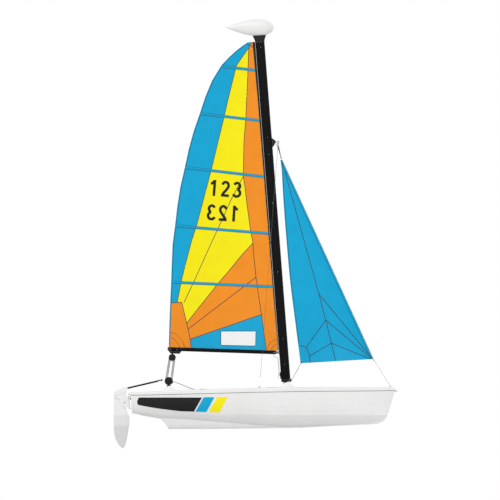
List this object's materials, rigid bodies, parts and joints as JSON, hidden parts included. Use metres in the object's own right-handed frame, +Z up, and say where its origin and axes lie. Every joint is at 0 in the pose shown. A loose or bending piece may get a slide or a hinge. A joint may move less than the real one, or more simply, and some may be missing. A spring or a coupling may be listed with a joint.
{
  "type": "sailing catamaran",
  "caption": "Light beach catamaran with asymmetric hulls, trampoline, rotating raked mast with float, battened mainsail on a boom, small jib and kick-up rudders joined by a tiller bar.",
  "frame": {"origin": "on the still waterline, on the centre line, below the middle of the hulls", "axes": "+X towards the bows, +Y towards port, +Z up"},
  "size_m": [4.109, 2.168, 6.2082],
  "materials": {
    "hull": "glossy white gelcoat over glass fibre",
    "deck": "white gelcoat with a fine non-slip grain on top",
    "beam": "round tube, satin black anodised",
    "black_spar": "satin black anodised",
    "cloth": "black woven mesh",
    "sail_main": "woven polyester in blue, yellow and orange panels",
    "sail_jib": "blue woven polyester",
    "batten": "glass fibre strip in a blue pocket",
    "casting": "cast, painted white",
    "blade": "white moulded foil",
    "steel": "polished stainless wire and plate",
    "block": "black moulded cheeks",
    "float": "white moulded shell",
    "moulding": "black moulded nylon",
    "rope": "braided polyester with a dark fleck"
  },
  "bodies": {
    "platform": {"hull_port": "hull", "hull_starboard": "hull", "deck_port": "deck", "deck_starboard": "deck", "front_beam": "beam", "rear_beam": "beam", "trampoline": "cloth", "mast_step": "black_spar", "traveller_track": "beam", "traveller_car": "black_spar", "sheet_block_lower": "block", "chainplate_port": "steel", "chainplate_starboard": "steel", "shroud_port": "steel", "shroud_starboard": "steel", "stay_ring": "steel", "forestay": "steel", "tack_shackle": "steel", "bridle_port": "steel", "bridle_starboard": "steel", "bow_tang_port": "steel", "bow_tang_starboard": "steel", "rudder_hanger_port": "steel", "rudder_hanger_starboard": "steel", "sheet_tail": "rope", "sheet_coil": "rope"},
    "mast": {"mast": "black_spar", "mast_foot": "moulding", "masthead_cap": "moulding", "masthead_float": "float", "hound_tang": "steel", "gooseneck": "black_spar", "downhaul_cleat": "block"},
    "boom": {"boom": "black_spar", "boom_end": "moulding", "boom_plug": "moulding", "clew_fitting": "black_spar", "sheet_block_upper": "block", "mainsail": "sail_main", "batten_1": "batten", "batten_2": "batten", "batten_3": "batten", "batten_4": "batten", "batten_5": "batten"},
    "jib": {"jib": "sail_jib"},
    "rudder_starboard": {"lower_casting_starboard": "casting", "upper_casting_starboard": "casting", "tiller_starboard": "black_spar"},
    "rudder_port": {"lower_casting_port": "casting", "upper_casting_port": "casting", "tiller_port": "black_spar"},
    "blade_starboard": {"blade_starboard": "blade"},
    "blade_port": {"blade_port": "blade"},
    "crossbar": {"crossbar": "black_spar"},
    "extension": {"tiller_extension": "black_spar"}
  },
  "joints": [
    {"name": "mast_rotation", "type": "hinge", "parent": "platform", "child": "mast", "pos_m": [0.333, 0, 0.482], "axis": [-0.0767, 0, 0.9971], "range_deg": [-25, 25]},
    {"name": "boom_swing", "type": "hinge", "parent": "mast", "child": "boom", "pos_m": [0.21511, 0, 0.90621], "axis": [-0.0767, 0, 0.9971], "range_deg": [-35, 35]},
    {"name": "jib_swing", "type": "hinge", "parent": "platform", "child": "jib", "pos_m": [1.603, 0, 0.801], "axis": [-0.4169, 0, 0.909], "range_deg": [-30, 30]},
    {"name": "steering_starboard", "type": "hinge", "parent": "platform", "child": "rudder_starboard", "pos_m": [-1.938, -0.93, 0.183], "axis": [-0.0767, 0, 0.9971], "range_deg": [-35, 35]},
    {"name": "steering_port", "type": "hinge", "parent": "platform", "child": "rudder_port", "pos_m": [-1.938, 0.93, 0.183], "axis": [-0.0767, 0, 0.9971], "range_deg": [-35, 35]},
    {"name": "kick_up_starboard", "type": "hinge", "parent": "rudder_starboard", "child": "blade_starboard", "pos_m": [-2.004, -0.93, 0.183], "axis": [0, 1, 0], "range_deg": [0, 65]},
    {"name": "kick_up_port", "type": "hinge", "parent": "rudder_port", "child": "blade_port", "pos_m": [-2.004, 0.93, 0.183], "axis": [0, 1, 0], "range_deg": [0, 65]},
    {"name": "crossbar_hinge", "type": "hinge", "parent": "rudder_starboard", "child": "crossbar", "pos_m": [-1.465, -0.93, 0.506], "axis": [-0.0767, 0, 0.9971], "range_deg": [-35, 35]},
    {"name": "extension_hinge", "type": "hinge", "parent": "crossbar", "child": "extension", "pos_m": [-1.50657, 0, 0.49879], "axis": [-0.0767, 0, 0.9971], "range_deg": [0, 180]}
  ],
  "couplings": [
    {"joint": "steering_port", "follows": "steering_starboard", "ratio": 1},
    {"joint": "crossbar_hinge", "follows": "steering_starboard", "ratio": -1}
  ]
}
